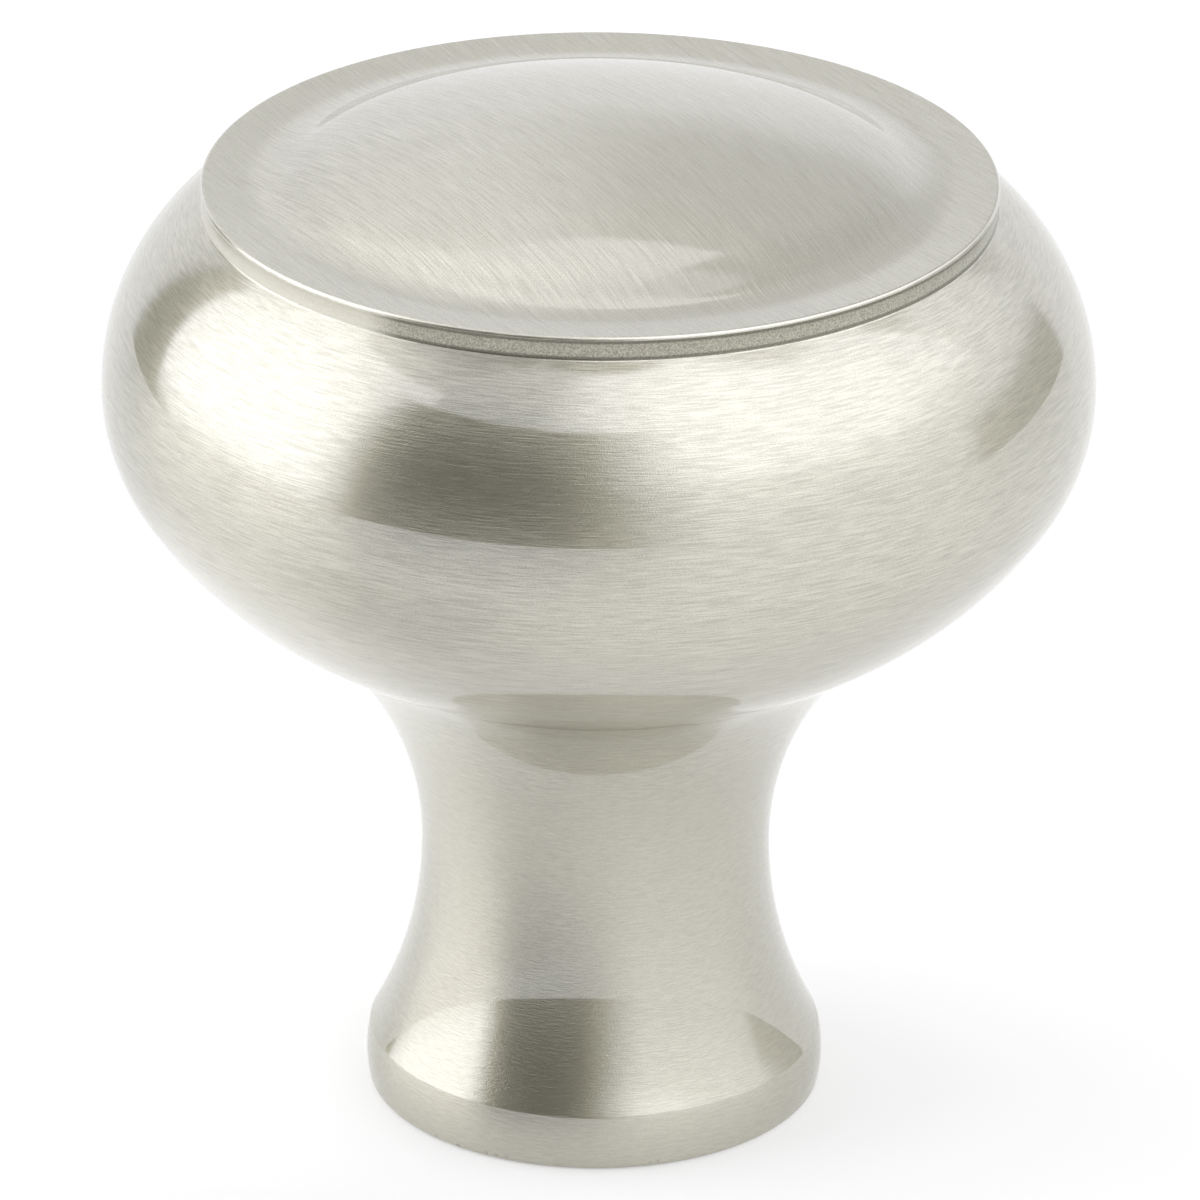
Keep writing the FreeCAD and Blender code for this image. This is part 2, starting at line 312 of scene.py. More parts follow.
    def underside_round(self) -> Round:
        """Return the flatter round that runs from the belly in to the neck.

        Returns:
            The round that touches the belly's from inside and passes through the neck's corner.
        """
        belly = self.belly_round()
        reach = Round(belly.centre, self.underside_radius - self.belly_radius)
        axis_side = Vector((0.0, belly.centre.y))
        centre = reach.meeting(0.0, Round(self.neck_corner(), self.underside_radius), 0.0, axis_side)
        return Round(centre, self.underside_radius)

    def shoulder_round(self) -> Round:
        """Return the round above the head's widest line."""
        return round_level_with(self.widest(), self.crease_corner())

    def collar_round(self) -> Round:
        """Return the hollow wall between the crease and the rim."""
        return round_left_of(self.rim_corner(), self.crease_corner(), self.collar_cove_radius)


@dataclass(frozen=True)
class TappedHole:
    """The blind screw hole up the stem, in millimetres, with a thread of 32 turns to the inch."""

    tapping_diameter: float = 3.45
    thread_diameter: float = 4.166
    pitch: float = 25.4 / 32
    depth: float = 12.5
    mouth_diameter: float = 4.6
    mouth_angle: float = 90.0
    point_angle: float = 118.0
    flank_angle: float = 60.0
    root_flat: float = 1 / 8
    turns: int = 12
    steps: int = 64
    lead_in_turns: float = 0.75
    run_out_turns: float = 3.0
    seam_share: float = 0.25
    turn_slack: float = 0.001
    row_slack: float = 0.01

    def mouth_height(self) -> float:
        """Return how deep the countersink goes."""
        spare = (self.mouth_diameter - self.tapping_diameter) / 2
        return spare / math.tan(math.radians(self.mouth_angle) / 2)

    def tip_height(self) -> float:
        """Return how high the drill's point reaches."""
        return self.depth + self.tapping_diameter / 2 / math.tan(math.radians(self.point_angle) / 2)

    def rows(self) -> list[tuple[float, float]]:
        """Return one pitch of the thread's section.

        Returns:
            Pairs of height within the pitch and share of the thread's depth, from crest to crest.
        """
        depth = (self.thread_diameter - self.tapping_diameter) / 2
        run = depth * math.tan(math.radians(self.flank_angle) / 2)
        root = self.pitch * self.root_flat
        crest = (self.pitch - root - 2 * run) / 2
        heights = (0.0, crest, crest + run, crest + run + root, crest + 2 * run + root, self.pitch)
        return list(zip(heights, (0.0, 0.0, 1.0, 1.0, 0.0, 0.0)))

    def cut_thread(self, bm: BMesh) -> None:
        """Add the threaded stretch of the wall, flat rings at both its ends.

        Args:
            bm: the mesh that the wall is added to, in millimetres.
        """
        wall = self.tapping_diameter / 2
        start = self.mouth_height()
        places = [Vector((wall, 0.0, start + height)) for height, _ in self.rows()]
        self.add_wedge(bm, places, start)
        middle = start + self.pitch * (self.turns + 1) / 2
        upper = copy_of(bm, bm.faces)
        bmesh.ops.rotate(bm, verts=upper, cent=(0, 0, middle), matrix=Matrix.Rotation(math.pi, 3, "X"))
        faces_before = len(bm.faces)
        turn_round(bm, wire(bm, places), self.steps, dvec=(0, 0, self.pitch / self.steps))
        first_turn = bm.faces[faces_before:]
        for number in range(1, self.turns):
            next_turn = copy_of(bm, first_turn)
            bmesh.ops.translate(bm, verts=next_turn, vec=(0, 0, self.pitch * number))

    def add_wedge(self, bm: BMesh, places: list[Vector], start: float) -> None:
        """Add the band that fills from a flat ring to the thread's first turn.

        Args:
            bm: the mesh that the band is added to.
            places: the points of one upright pitch of the wall.
            start: height of the flat ring.
        """
        before = len(bm.verts)
        turn_round(bm, wire(bm, places), self.steps)
        bm.verts.ensure_lookup_table()
        for number, vert in enumerate(bm.verts[before:]):
            column = number // len(places)
            vert.co.z = start + (vert.co.z - start) * column / self.steps

    def sink(self, place: Vector) -> float:
        """Return how far the thread is cut outwards at a place on the plain wall.

        Args:
            place: a point on the wall's cylinder.

        Returns:
            The depth of cut there, in millimetres.
        """
        rise = (place.z - self.mouth_height()) / self.pitch
        turn = math.atan2(place.y, place.x) % FULL_TURN / FULL_TURN
        if turn > 1 - self.seam_share / self.steps:
            turn = 0.0
        number = math.floor(rise - turn + self.turn_slack)
        height = (rise - turn - number) * self.pitch
        slack = self.row_slack * self.pitch
        shares = [share for row, share in self.rows() if abs(row - height) < slack]
        full = (self.thread_diameter - self.tapping_diameter) / 2
        made = number + turn
        lead_in = min(1.0, max(0.0, made / self.lead_in_turns))
        run_out = min(1.0, max(0.0, (self.turns - made) / self.run_out_turns))
        return full * (shares[0] if shares else 0.0) * min(lead_in, run_out)


def copy_of(bm: BMesh, faces: Iterable[bmesh.types.BMFace]) -> list[BMVert]:
    """Copy faces within a mesh, and return the vertices of the copy."""
    copied = bmesh.ops.duplicate(bm, geom=list(faces))
    return [item for item in copied["geom"] if isinstance(item, BMVert)]


def wire(bm: BMesh, places: Iterable[Vector]) -> list:
    """Add a chain of vertices and edges through some places, and return them."""
    verts = [bm.verts.new(place) for place in places]
    return verts + [bm.edges.new(pair) for pair in zip(verts, verts[1:])]


def turn_round(bm: BMesh, geom: list, steps: int, **options) -> None:
    """Turn a wire about the knob's axis, a full turn with its ends left open.

    Args:
        bm: the mesh that holds the wire.
        geom: the wire's vertices and edges.
        steps: how many columns the turn makes.
        options: what differs from that, as the spin operator names it.
    """
    settings = {"angle": FULL_TURN, "use_merge": False, "use_duplicate": False, **options}
    bmesh.ops.spin(bm, geom=geom, cent=(0, 0, 0), axis=(0, 0, 1), steps=steps, **settings)


@dataclass
class CabinetKnob:
    """The knob: one turned body with a tapped hole, built in millimetres and dressed in place."""

    profile: TurnedProfile
    hole: TappedHole
    around: int = 192
    step_length: float = 0.25
    step_angle: float = 3.0
    least_steps: int = 4
    doublings: int = 4
    crisp_angle: float = 30.0

    def build(self) -> bpy.types.Object:
        """Build the body's mesh, in metres, and link it to the scene.

        Returns:
            The finished piece.
        """
        bm = bmesh.new()
        self.turn_outside(bm)
        self.drill(bm)
        bmesh.ops.remove_doubles(bm, verts=bm.verts, dist=WELD_MM)
        self.close_foot(bm)
        bmesh.ops.recalc_face_normals(bm, faces=bm.faces)
        self.mark(bm)
        bmesh.ops.scale(bm, vec=(MM, MM, MM), verts=bm.verts)
        mesh = bpy.data.meshes.new("knob")
        bm.to_mesh(mesh)
        bm.free()
        piece = bpy.data.objects.new("knob", mesh)
        bpy.context.scene.collection.objects.link(piece)
        return piece

    def stretches(self) -> list[Stretch]:
        """Return the whole profile, from the foot face to the crown."""
        profile = self.profile
        return profile.foot() + profile.stem() + profile.head() + profile.cap()

    def turn_outside(self, bm: BMesh) -> None:
        """Draw the profile as a wire and turn it about the axis.

        Args:
            bm: the empty mesh that it is made in.
        """
        along = bm.verts.layers.float.new(ALONG)
        stretches = self.stretches()
        start = stretches[0].end
        last = bm.verts.new((start.x, 0, start.y))
        for stretch in stretches[1:]:
            last = self.draw(bm, last, stretch)
        bm.verts.ensure_lookup_table()
        travelled = 0.0
        for before, vert in zip(bm.verts, bm.verts[1:]):
            travelled += (vert.co - before.co).length
            vert[along] = travelled
        sector = FULL_TURN / 2**self.doublings
        columns = self.around // 2**self.doublings
        turn_round(bm, bm.verts[:] + bm.edges[:], columns, angle=sector)
        for number in range(self.doublings):
            turn = Matrix.Rotation(sector * 2**number, 3, "Z")
            bmesh.ops.rotate(bm, verts=copy_of(bm, bm.faces), cent=(0, 0, 0), matrix=turn)

    def draw(self, bm: BMesh, last: BMVert, stretch: Stretch) -> BMVert:
        """Lengthen the profile by one stretch.

        Args:
            bm: the mesh that holds the wire.
            last: the wire's last vertex.
            stretch: where the wire goes on to, and about which centre.

        Returns:
            The wire's new last vertex.
        """
        end = Vector((stretch.end.x, 0, stretch.end.y))
        if stretch.centre is None:
            steps = math.ceil((end - last.co).length / self.step_length)
            stride = (end - last.co) / steps
            for _ in range(steps):
                made = bmesh.ops.extrude_vert_indiv(bm, verts=[last])
                last = made["verts"][0]
                last.co += stride
            return last
        centre = Vector((stretch.centre.x, 0, stretch.centre.y))
        first, final = last.co - centre, end - centre
        angle = math.atan2(final.x, final.z) - math.atan2(first.x, first.z)
        angle = (angle + math.pi) % FULL_TURN - math.pi
        length = abs(angle) * first.length
        by_angle = math.degrees(abs(angle)) / self.step_angle
        steps = math.ceil(max(length / self.step_length, by_angle, self.least_steps))
        made = bmesh.ops.spin(
            bm, geom=[last], cent=centre, axis=(0, 1, 0), angle=angle, steps=steps, use_duplicate=False
        )
        return next(item for item in made["geom_last"] if isinstance(item, BMVert))

    def drill(self, bm: BMesh) -> None:
        """Add the screw hole: its thread, the countersunk mouth and the drill's point.

        Args:
            bm: the mesh of the turned outside.
        """
        hole = self.hole
        bore = bmesh.new()
        hole.cut_thread(bore)
        wall = hole.tapping_diameter / 2
        thread_end = hole.mouth_height() + hole.pitch * (hole.turns + 1)
        bmesh.ops.remove_doubles(bore, verts=bore.verts, dist=WELD_MM)
        for vert in bore.verts:
            sink = hole.sink(vert.co)
            vert.co.x *= (wall + sink) / wall
            vert.co.y *= (wall + sink) / wall
        ends = [
            [Vector((hole.mouth_diameter / 2, 0, 0)), Vector((wall, 0, hole.mouth_height()))],
            [
                Vector((wall, 0, thread_end)),
                Vector((wall, 0, hole.depth)),
                Vector((0, 0, hole.tip_height())),
            ],
        ]
        for places in ends:
            turn_round(bore, wire(bore, places), hole.steps, use_merge=True)
        for face in bore.faces:
            face.material_index = Skin.TAPPED_BORE.value
        shell = bpy.data.meshes.new("bore")
        bore.to_mesh(shell)
        bore.free()
        bm.from_mesh(shell)
        bpy.data.meshes.remove(shell)

    def close_foot(self, bm: BMesh) -> None:
        """Join the foot's open lower edge to the mouth of the hole with the flat mounting face."""
        rims = [edge for edge in bm.edges if edge.is_boundary]
        bmesh.ops.triangle_fill(bm, use_beauty=True, edges=rims, normal=(0, 0, -1))

    def mark(self, bm: BMesh) -> None:
        """Shade the mesh smooth, keep its crisp edges and give the cap and its collar their finishes.

        Args:
            bm: the whole mesh.
        """
        low, high = self.profile.collar_reach()
        inner_rim = self.profile.rim_corner().x - self.profile.rim_fillet
        inner_land = self.profile.land_inner().x
        for face in bm.faces:
            face.smooth = True
            middle = face.calc_center_median()
            reach = math.hypot(middle.x, middle.y)
            if low < middle.z < high and reach > inner_land:
                face.material_index = Skin.DULL_SHADED_COLLAR.value
            elif middle.z > (low + high) / 2 and reach < inner_rim:
                face.material_index = Skin.BRUSHED_TOP.value
        for edge in bm.edges:
            if len(edge.link_faces) == 2 and edge.calc_face_angle() > math.radians(self.crisp_angle):
                edge.smooth = False


@dataclass(frozen=True)
class PhotoCamera:
    """The camera at the photograph's place, in metres, for its 1200 pixel square frame."""

    place: tuple[float, float, float] = (0.0, -0.375956, 0.187236)
    aim: tuple[float, float, float] = (0.000087, 0.0, 0.016811)
    roll: float = 0.413
    focal_pixels: float = 12853.4
    frame_pixels: float = 1200.0
    sensor: float = 36.0
    clip: Pair = (0.01, 10.0)

    def build(self) -> bpy.types.Object:
        """Make the camera and set it as the scene's.

        Returns:
            The camera object.
        """
        data = bpy.data.cameras.new("photo_camera")
        data.sensor_width = self.sensor
        data.sensor_fit = "HORIZONTAL"
        data.lens = self.focal_pixels / self.frame_pixels * self.sensor
        camera = bpy.data.objects.new("photo_camera", data)
        bpy.context.scene.collection.objects.link(camera)
        camera.location = self.place
        look = Vector(self.aim) - Vector(self.place)
        turn = look.to_track_quat("-Z", "Y") @ Quaternion((0, 0, 1), math.radians(self.roll))
        camera.rotation_mode = "QUATERNION"
        camera.rotation_quaternion = turn
        data.clip_start, data.clip_end = self.clip
        bpy.context.scene.camera = camera
        return camera


class NodeBench:
    """A node tree that is being wired up."""

    MIX_SHARE = 0
    MIX_FIRST = 6
    MIX_SECOND = 7
    MIX_RESULT = 2

    def __init__(self, tree: bpy.types.NodeTree) -> None:
        """Start with the tree empty.

        Args:
            tree: a material's or the world's.
        """
        self.tree = tree
        tree.nodes.clear()

    def add(self, kind: str, inputs: dict, **options) -> bpy.types.Node:
        """Add a node.

        Args:
            kind: the node's type.
            inputs: what its sockets get, by name or number: a value, or an output to link.
            options: the node's own settings.

        Returns:
            The node.
        """
        node = self.tree.nodes.new(kind)
        for name, value in options.items():
            setattr(node, name, value)
        for name, value in inputs.items():
            if isinstance(value, Socket):
                self.tree.links.new(value, node.inputs[name])
            else:
                node.inputs[name].default_value = value
        return node

    def place(self) -> Socket:
        """Return the place on the object, in metres."""
        return self.add("ShaderNodeTexCoord", {}).outputs["Object"]

    def attribute(self, name: str) -> Socket:
        """Return a number that the mesh holds at each of its vertices."""
        return self.add("ShaderNodeAttribute", {}, attribute_name=name).outputs["Fac"]

    def scaled(self, vector: Socket, factor: float) -> Socket:
        """Return a vector times a number."""
        return self.add("ShaderNodeVectorMath", {0: vector, "Scale": factor}, operation="SCALE").outputs[0]

    def maths(self, operation: str, *values) -> Socket:
        """Return the result of a Math node's operation on numbers or sockets."""
        return self.add("ShaderNodeMath", dict(enumerate(values)), operation=operation).outputs[0]

    def vector(self, operation: str, *values) -> Socket:
        """Return the result of a Vector Math node's operation on vectors or sockets."""
        node = self.add("ShaderNodeVectorMath", dict(enumerate(values)), operation=operation)
        return node.outputs["Value" if operation == "LENGTH" else "Vector"]

    def ramp(self, value: Socket, source: Pair, target: Pair) -> Socket:
        """Return a value moved smoothly from one range to another and kept within it."""
        inputs = {0: value, 1: source[0], 2: source[1], 3: target[0], 4: target[1]}
        return self.add("ShaderNodeMapRange", inputs, interpolation_type="SMOOTHSTEP").outputs[0]

    def noise(self, place: Socket, detail: float = 2.0) -> Socket:
        """Return noise that changes about once in each unit of the given vector."""
        inputs = {"Vector": place, "Scale": 1.0, "Detail": detail}
        return self.add("ShaderNodeTexNoise", inputs).outputs[0]

    def tint(self, share: Socket, low: Color, high: Color) -> Socket:
        """Return a blend of two colours.

        Args:
            share: how much of the second colour.
            low: the first colour.
            high: the second colour.

        Returns:
            The blended colour's socket.
        """
        node = self.add("ShaderNodeMix", {}, data_type="RGBA")
        self.tree.links.new(share, node.inputs[self.MIX_SHARE])
        node.inputs[self.MIX_FIRST].default_value = (*low, 1.0)
        node.inputs[self.MIX_SECOND].default_value = (*high, 1.0)
        return node.outputs[self.MIX_RESULT]

    def over(self, under: Socket, color: Color, share: Socket) -> Socket:
        """Return a colour with some share of another laid over it.

        Args:
            under: the colour beneath.
            color: the colour laid over it.
            share: how much of it covers.

        Returns:
            The blended colour's socket.
        """
        output = self.tint(share, color, color)
        self.tree.links.new(under, output.node.inputs[self.MIX_FIRST])
        return output


def start_material(name: str) -> tuple[bpy.types.Material, NodeBench]:
    """Make a material with nothing in it.

    Args:
        name: its name.

    Returns:
        The material and the bench of its nodes.
    """
    material = bpy.data.materials.new(name)
    material.use_nodes = True
    return material, NodeBench(material.node_tree)


@dataclass(frozen=True)
class SatinNickel:
    """Brushed nickel plate under clear lacquer, apart from how its brush marks lie."""

    dark: Color = (0.42, 0.405, 0.325)
    light: Color = (0.585, 0.57, 0.47)
    roughness: float = 0.315
    roughness_swing: float = 0.03
    anisotropy: float = 0.95
    across_the_tangent: float = 0.0
    lacquer_roughness: float = 0.03
    lacquer_ior: float = 2.2
    edge_tint: Color = (0.72, 0.72, 0.7)
    groove_depth: float = 0.022
    groove_strength: float = 0.8
    fine_share: float = 0.7
    grain_per_mm: float = 22.0
    grain_share: float = 0.4
    height_range: Pair = (0.5, 0.9)

    def material(self, name: str) -> bpy.types.Material:
        """Make the material.

        Args:
            name: its name.

        Returns:
            The finished material.
        """
        material, bench = start_material(name)
        place = bench.scaled(bench.place(), 1 / MM)
        marks = self.marks(bench, place)
        grain = bench.noise(bench.scaled(place, self.grain_per_mm), 1.0)
        height = bench.maths("MULTIPLY_ADD", grain, self.grain_share, marks)
        shown = bench.ramp(height, self.height_range, (0.0, 1.0))
        low, high = self.roughness - self.roughness_swing, self.roughness + self.roughness_swing
        bump = {"Height": height, "Strength": self.groove_strength, "Distance": self.groove_depth * MM}
        shader = bench.add(
            "ShaderNodeBsdfPrincipled",
            {
                "Base Color": self.wear_and_painted_light(bench, bench.tint(shown, self.dark, self.light)),
                "Metallic": 1.0,
                "Specular Tint": (*self.edge_tint, 1.0),
                "Roughness": bench.ramp(height, self.height_range, (high, low)),
                "Normal": bench.add("ShaderNodeBump", bump).outputs[0],
                "Tangent": self.tangent(bench),
                "Anisotropic": self.anisotropy,
                "Anisotropic Rotation": self.across_the_tangent,
                "Coat Weight": 1.0,
                "Coat Roughness": self.lacquer_roughness,
                "Coat IOR": self.lacquer_ior,
            },
        )
        bench.add("ShaderNodeOutputMaterial", {"Surface": shader.outputs[0]})
        return material

    def marks(self, bench: NodeBench, place: Socket) -> Socket:
        """Return the height of the brush marks, from 0 to 1; each finish lays its own."""
        raise NotImplementedError

    def blended(self, bench: NodeBench, fine: Socket, broad: Socket) -> Socket:
        """Return fine marks and broad streaks as one height."""
        rest = bench.maths("MULTIPLY", broad, 1 - self.fine_share)
        return bench.maths("MULTIPLY_ADD", fine, self.fine_share, rest)

    def tangent(self, bench: NodeBench) -> Socket:
        """Return the direction that the highlights are measured from: round the axis."""
        return bench.add("ShaderNodeTangent", {}, direction_type="RADIAL", axis="Z").outputs[0]

    def wear_and_painted_light(self, bench: NodeBench, color: Socket) -> Socket:
        """Return the colour with what wear and painted light and shade the finish has; none unless a
        finish says so.
        """
        return color


@dataclass(frozen=True, kw_only=True)
class TurnedSide(SatinNickel):
    """The sides, brushed round the knob while it turned, with nicks in the foot's lower edge."""

    rim_edge: float
    across_the_tangent: float = 0.25
    fine_per_radian: float = 17.0
    fine_per_mm: float = 22.0
    broad_per_radian: float = 9.0
    broad_per_mm: float = 12.0
    # Painted shade: the stem under the head is painted darker, fully below the first height and fading out
    # by the second.
    stem_shade_fade: Pair = (12.0, 15.0)
    stem_shade_color: Color = (0.44, 0.425, 0.34)
    stem_shade_share: float = 0.6
    # Painted highlight: the rim's rounded edge is painted this paler colour, fading in over these heights
    # above the collar's top.
    rim_highlight_span: Pair = (0.04, 0.08)
    rim_highlight_color: Color = (0.74, 0.72, 0.63)
    nick_reach: float = 0.45
    nicks_per_radian: float = 38.0
    nicks_per_mm: float = 3.0
    nick_range: Pair = (0.7, 0.75)
    nick_color: Color = (0.25, 0.23, 0.2)

    def around(self, bench: NodeBench, per_radian: float, per_mm: float) -> Socket:
        """Return a place that runs round the knob and along its profile.

        Args:
            bench: the material's bench.
            per_radian: noise cells to a radian round the axis.
            per_mm: noise cells to a millimetre of the profile.

        Returns:
            The place's socket, without a seam.
        """
        level = bench.vector("MULTIPLY", bench.place(), (1.0, 1.0, 0.0))
        spoke = bench.scaled(bench.vector("NORMALIZE", level), per_radian)
        rise = bench.maths("MULTIPLY", bench.attribute(ALONG), per_mm)
        return bench.vector("ADD", spoke, bench.add("ShaderNodeCombineXYZ", {2: rise}).outputs[0])

    def marks(self, bench: NodeBench, place: Socket) -> Socket:
        """Return fine marks and broader streaks, both round the knob."""
        fine = bench.noise(self.around(bench, self.fine_per_radian, self.fine_per_mm))
        broad = bench.noise(self.around(bench, self.broad_per_radian, self.broad_per_mm))
        return self.blended(bench, fine, broad)

    def wear_and_painted_light(self, bench: NodeBench, color: Socket) -> Socket:
        """Return the colour with painted shade on the stem, a painted highlight on the rim's edge, and
        nicks along the foot's.

        Args:
            bench: the material's bench.
            color: the colour of the plain finish.

        Returns:
            The colour's socket.
        """
        rise = bench.add("ShaderNodeSeparateXYZ", {0: bench.place()}).outputs[2]
        # Painted shade on the stem, under the head.
        stem = bench.ramp(rise, tuple(height * MM for height in self.stem_shade_fade), (self.stem_shade_share, 0.0))
        color = bench.over(color, self.stem_shade_color, stem)
        # Painted highlight on the rim's rounded edge.
        rim_highlight_heights = tuple((self.rim_edge + height) * MM for height in self.rim_highlight_span)
        color = bench.over(color, self.rim_highlight_color, bench.ramp(rise, rim_highlight_heights, (0.0, 1.0)))
        edge = bench.ramp(bench.attribute(ALONG), (self.nick_reach / 2, self.nick_reach), (1.0, 0.0))
        nicks = bench.noise(self.around(bench, self.nicks_per_radian, self.nicks_per_mm), 0.0)
        deep = bench.ramp(nicks, self.nick_range, (0.0, 1.0))
        return bench.over(color, self.nick_color, bench.maths("MULTIPLY", deep, edge))


@dataclass(frozen=True)
class BrushedTop(SatinNickel):
    """The top face, brushed in straight strokes across the knob."""

    stroke_angle: float = -59.0
    roughness_swing: float = 0.08
    fine_per_mm: float = 20.0
    fine_length: float = 1.6
    broad_per_mm: float = 8.0
    broad_length: float = 5.0

    def strokes(self, bench: NodeBench, place: Socket, scale: Pair) -> Socket:
        """Return noise drawn out along the strokes.

        Args:
            bench: the material's bench.
            place: the place on the object, in millimetres.
            scale: noise cells to a millimetre, along the strokes and across them.

        Returns:
            The noise.
        """
        turned = bench.add(
            "ShaderNodeMapping",
            {"Vector": place, "Rotation": (0.0, 0.0, math.radians(-self.stroke_angle))},
        )
        scaled = bench.vector("MULTIPLY", turned.outputs[0], (scale[0], scale[1], 0.0))
        return bench.noise(scaled)

    def marks(self, bench: NodeBench, place: Socket) -> Socket:
        """Return fine marks and broader streaks, all one way."""
        fine = self.strokes(bench, place, (1 / self.fine_length, self.fine_per_mm))
        broad = self.strokes(bench, place, (1 / self.broad_length, self.broad_per_mm))
        return self.blended(bench, fine, broad)

    def tangent(self, bench: NodeBench) -> Socket:
        """Return the level direction square to the strokes."""
        across = math.radians(self.stroke_angle + 90)
        return bench.add("ShaderNodeCombineXYZ", {0: math.cos(across), 1: math.sin(across)}).outputs[0]


@dataclass(frozen=True, kw_only=True)
class DullShadedCollar(SatinNickel):
    """The hollow wall under the rim: dull and speckled, its colours and corners darkened with painted
    shade, with a painted highlight on its left side.
    """

    low: float
    high: float
    # Painted shade: the collar's colours are darker than the plain nickel's, as shade in the hollow under
    # the rim.
    dark: Color = (0.33, 0.325, 0.255)
    light: Color = (0.52, 0.505, 0.415)
    roughness: float = 0.45
    roughness_swing: float = 0.08
    anisotropy: float = 0.0
    lacquer_roughness: float = 0.2
    lacquer_ior: float = 1.5
    speckle_per_mm: float = 16.0
    # Painted shade: dark bands painted in the crease and just under the rim.
    corner_shade_depth: float = 0.15
    corner_shade_color: Color = (0.13, 0.125, 0.09)
    corner_shade_share: float = 0.75
    # Painted highlight: the collar is painted this paler colour on its left side, beyond the first x and
    # fading out by the second, in millimetres.
    left_highlight_reach: Pair = (-7.4, -6.0)
    left_highlight_color: Color = (0.8, 0.78, 0.68)
    left_highlight_share: float = 0.8

    def marks(self, bench: NodeBench, place: Socket) -> Socket:
        """Return an even speckle."""
        return bench.noise(bench.scaled(place, self.speckle_per_mm))

    def wear_and_painted_light(self, bench: NodeBench, color: Socket) -> Socket:
        """Return the colour with painted shade in the crease and under the rim, and a painted highlight on
        the collar's left side.

        Args:
            bench: the material's bench.
            color: the colour of the plain finish.

        Returns:
            The colour's socket.
        """
        across, _, rise = bench.add("ShaderNodeSeparateXYZ", {0: bench.place()}).outputs
        low, high, depth = self.low * MM, self.high * MM, self.corner_shade_depth * MM
        # Painted shade: darker bands in the crease and just under the rim.
        crease = bench.ramp(rise, (low + depth / 2, low + depth), (1.0, 0.0))
        shade_under_rim = bench.ramp(rise, (high - depth, high - depth / 2), (0.0, 1.0))
        share = bench.maths("MULTIPLY", bench.maths("MAXIMUM", crease, shade_under_rim), self.corner_shade_share)
        # Painted highlight on the collar's left side.
        reach = tuple(edge * MM for edge in self.left_highlight_reach)
        brushed = bench.ramp(across, reach, (self.left_highlight_share, 0.0))
        return bench.over(bench.over(color, self.corner_shade_color, share), self.left_highlight_color, brushed)


@dataclass(frozen=True)
class RawThread:
    """The casting's bare zinc in the tapped hole, cut by the tap and left unplated."""

    dark: Color = (0.3, 0.3, 0.29)
    light: Color = (0.44, 0.44, 0.43)
    roughness: Pair = (0.42, 0.52)
    noise_range: Pair = (0.3, 0.7)
    cuts_per_mm: float = 9.0
    cut_stretch: float = 4.0
    cut_strength: float = 0.3
    cut_depth: float = 0.01

    def material(self, name: str) -> bpy.types.Material:
        """Make the material.

        Args:
            name: its name.

        Returns:
            The finished material.
        """
        material, bench = start_material(name)
        upright = self.cuts_per_mm / MM
        level = upright / self.cut_stretch
        cuts = bench.noise(bench.vector("MULTIPLY", bench.place(), (level, level, upright)))
        bump = {"Height": cuts, "Strength": self.cut_strength, "Distance": self.cut_depth * MM}
        shader = bench.add(
            "ShaderNodeBsdfPrincipled",
            {
                "Base Color": bench.tint(cuts, self.dark, self.light),
                "Metallic": 1.0,
                "Roughness": bench.ramp(cuts, self.noise_range, self.roughness),
                "Normal": bench.add("ShaderNodeBump", bump).outputs[0],
            },
        )
        bench.add("ShaderNodeOutputMaterial", {"Surface": shader.outputs[0]})
        return material


@dataclass(frozen=True)
class Panel:
    """A softbox, flag or gap on the light tent.

    Its sides are azimuths in degrees, 0 on the camera's side and positive to the right. Its ends
    are heights in degrees above the knob. A strength of 1 is plain white, and each side fades over
    its own width. The lean moves both sides to the left by that much for each degree of height.
    """

    name: str
    left: float
    right: float
    low: float
    high: float
    low_strength: float
    high_strength: float
    fade_left: float = 4.0
    fade_right: float = 4.0
    fade_low: float = 2.0
    fade_high: float = 2.0
    lean: float = 0.0

    def cover(self, turn: float, height: float) -> float:
        """Return how much of the tent this panel covers in one direction, half of it on its sides.

        Args:
            turn: azimuth of the direction, in degrees.
            height: its height, in degrees.

        Returns:
            A share from 0 to 1.
        """
        middle = (self.left + self.right) / 2
        turn = (turn + self.lean * height - middle + 180) % 360 - 180 + middle
        inside = (
            (turn - self.left, self.fade_left),
            (self.right - turn, self.fade_right),
            (height - self.low, self.fade_low),
            (self.high - height, self.fade_high),
        )
        share = 1.0
        for gap, fade in inside:
            step = min(1.0, max(0.0, gap / fade + 0.5))
            share *= step * step * (3 - 2 * step)
        return share

    def strength(self, height: float) -> float:
        """Return the panel's own strength at a height in degrees."""
        share = min(1.0, max(0.0, (height - self.low) / (self.high - self.low)))
        return self.low_strength + (self.high_strength - self.low_strength) * share


@dataclass(frozen=True)
class FloorSpot:
    """A soft round patch of painted light (glow above 0) or painted shadow (glow below 0) on the table,
    where the metal sees the table glow more, or less, than the rest.
    """

    place: tuple[float, float, float]
    reach: Pair
    glow: float


